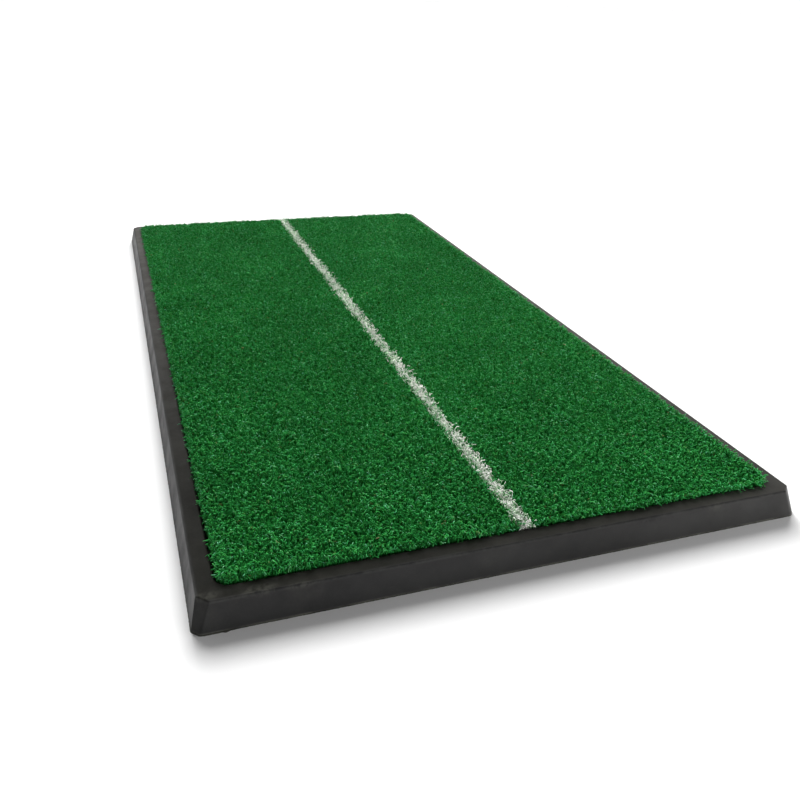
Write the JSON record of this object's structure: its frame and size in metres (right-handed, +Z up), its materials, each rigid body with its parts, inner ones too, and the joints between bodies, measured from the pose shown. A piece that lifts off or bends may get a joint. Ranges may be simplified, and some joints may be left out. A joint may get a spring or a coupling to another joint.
{
  "type": "golf hitting mat",
  "caption": "Golf hitting mat: short curly green nylon turf with a central white aiming line, bonded into a shallow recess in a black moulded rubber tray.",
  "frame": {"origin": "centre of the tray's underside, on the surface that the mat lies on", "axes": "+X across the mat to the right, +Y along the mat and its white line, in the direction of play, +Z up"},
  "size_m": [0.3302, 0.635, 0.0188],
  "materials": {
    "tray_rubber": "moulded, satin, lightly scuffed",
    "turf_adhesive": "cured film",
    "latex_coat": "matt, rolled",
    "woven_backing": "flat woven tape yarn",
    "green_nylon": "curled cut pile",
    "white_nylon": "curled cut pile"
  },
  "bodies": {
    "root": {"rubber_tray": "tray_rubber", "adhesive_film": "turf_adhesive", "secondary_backing": "latex_coat", "primary_backing": "woven_backing", "left_green_pile": "green_nylon", "white_line_pile": "white_nylon", "right_green_pile": "green_nylon"}
  },
  "joints": []
}
